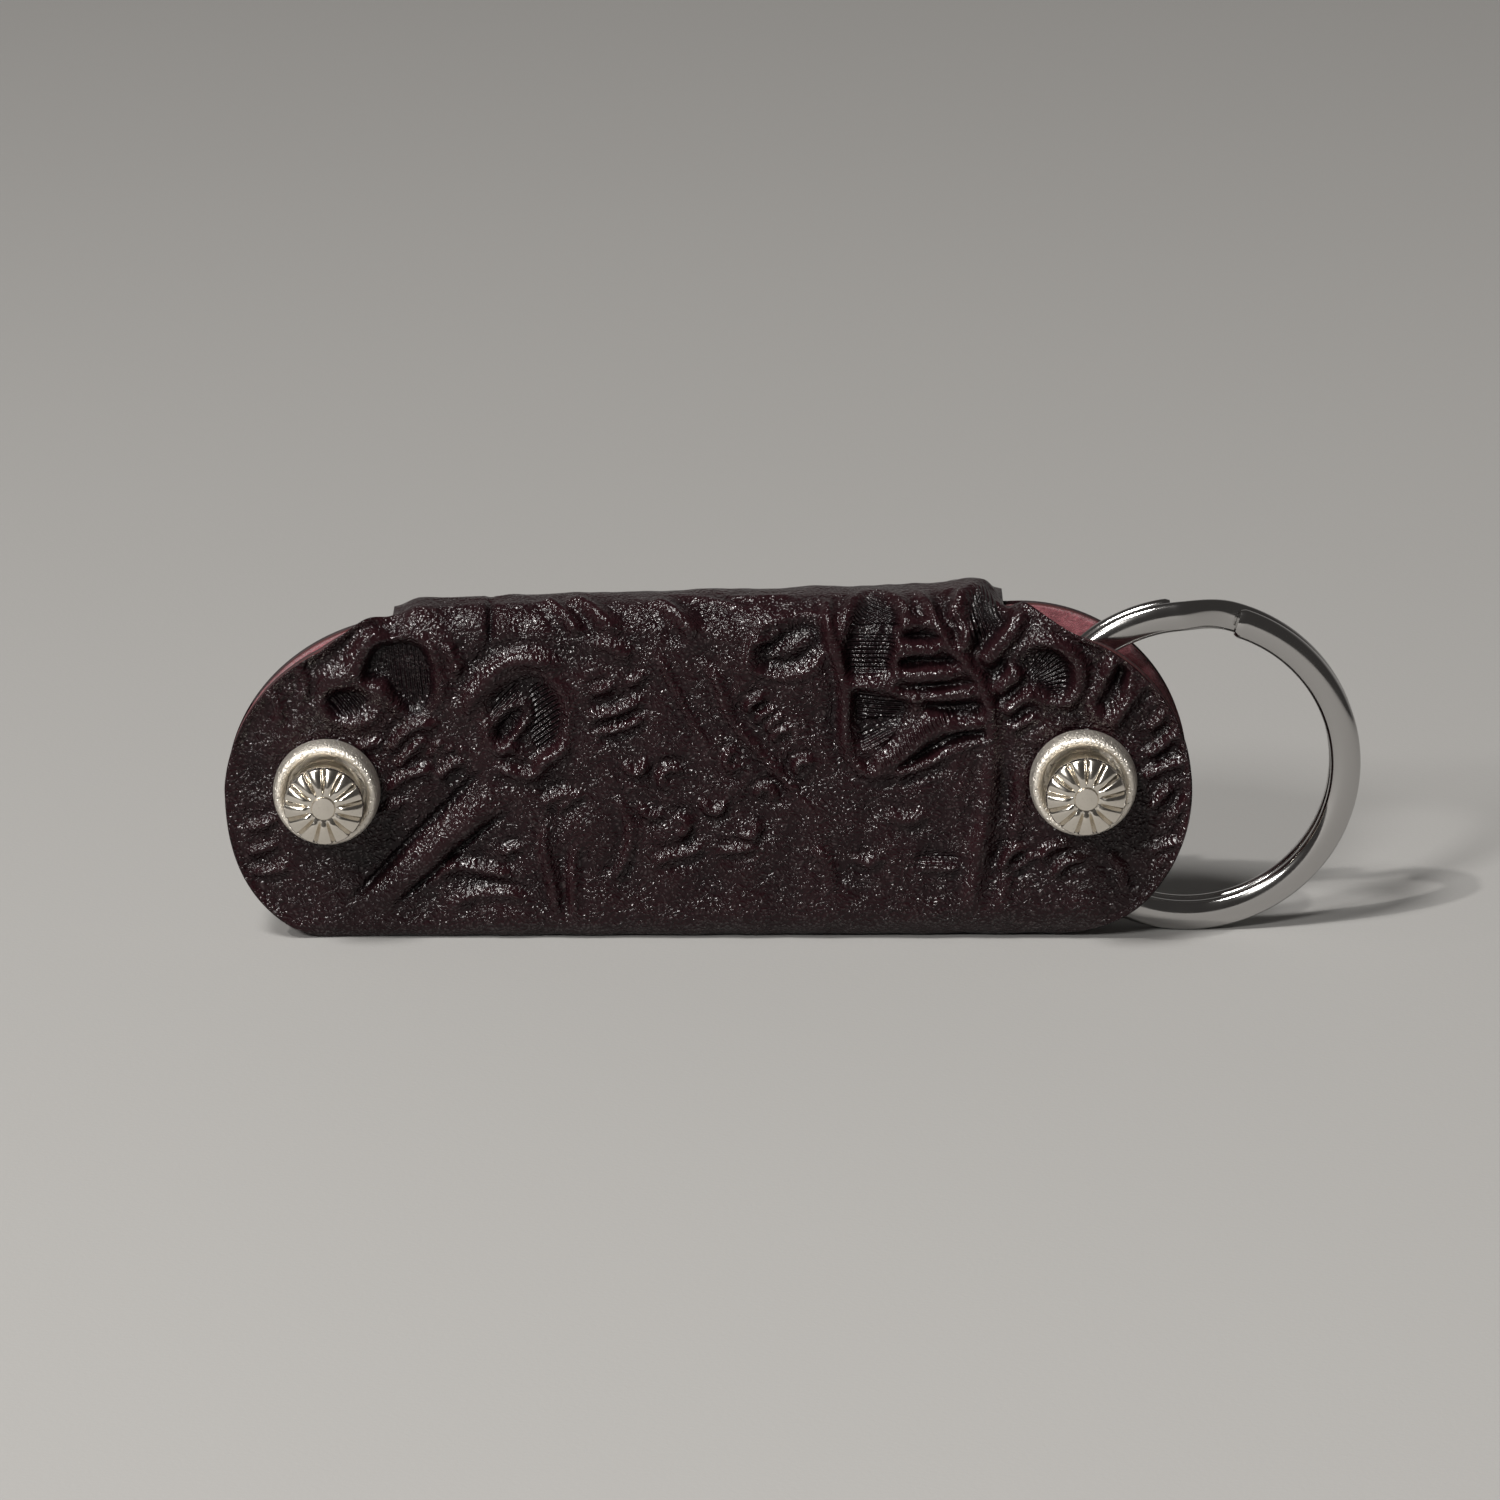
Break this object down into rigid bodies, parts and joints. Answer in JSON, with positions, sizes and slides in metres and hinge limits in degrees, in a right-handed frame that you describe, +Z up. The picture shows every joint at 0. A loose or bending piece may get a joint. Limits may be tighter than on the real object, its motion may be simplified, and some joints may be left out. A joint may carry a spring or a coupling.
{
  "type": "key holder",
  "caption": "Folded leather key holder: two thumb screws on posts hold keys between its panels, a flap snaps shut behind them, and a split ring hangs on the end post",
  "frame": {"origin": "Middle of the flat under the fold that the wrap stands on, midway between the round ends", "axes": "+X along the wrap towards the split ring, +Y from the thumb screws to the flap, +Z up from the fold to the top bend"},
  "size_m": [0.1053, 0.0199, 0.0334],
  "materials": {
    "leather": "embossed, waxed, dark brown",
    "flap_leather": "embossed, waxed, dark brown",
    "satin_nickel": "satin antique nickel",
    "polished_nickel": "polished nickel",
    "snap_nickel": "polished nickel",
    "chrome": "polished, bright"
  },
  "bodies": {
    "wrap": {"leather_wrap": "leather", "left_bezel": "satin_nickel", "right_bezel": "satin_nickel", "left_post": "satin_nickel", "right_post": "satin_nickel", "snap_post": "snap_nickel", "snap_stud": "snap_nickel"},
    "flap": {"closure_flap": "flap_leather", "snap_socket": "snap_nickel", "snap_cap": "snap_nickel"},
    "left_screw": {"left_thumb_screw": "polished_nickel"},
    "right_screw": {"right_thumb_screw": "polished_nickel"},
    "ring": {"split_ring": "chrome"}
  },
  "joints": [
    {"name": "flap_hinge", "type": "hinge", "parent": "wrap", "child": "flap", "pos_m": [-0.0007, 0.00084, 0.03286], "axis": [0.9998, 0.0088, 0.0175], "range_deg": [0, 165]},
    {"name": "left_turn", "type": "hinge", "parent": "wrap", "child": "left_screw", "pos_m": [-0.0351, 0, 0.0147], "axis": [0, 1, 0], "continuous": true},
    {"name": "right_turn", "type": "hinge", "parent": "wrap", "child": "right_screw", "pos_m": [0.0346, 0, 0.0159], "axis": [0, 1, 0], "continuous": true},
    {"name": "ring_swing", "type": "hinge", "parent": "wrap", "child": "ring", "pos_m": [0.0346, 0.0002, 0.0159], "axis": [0, -1, 0], "range_deg": [-12, 40]}
  ]
}
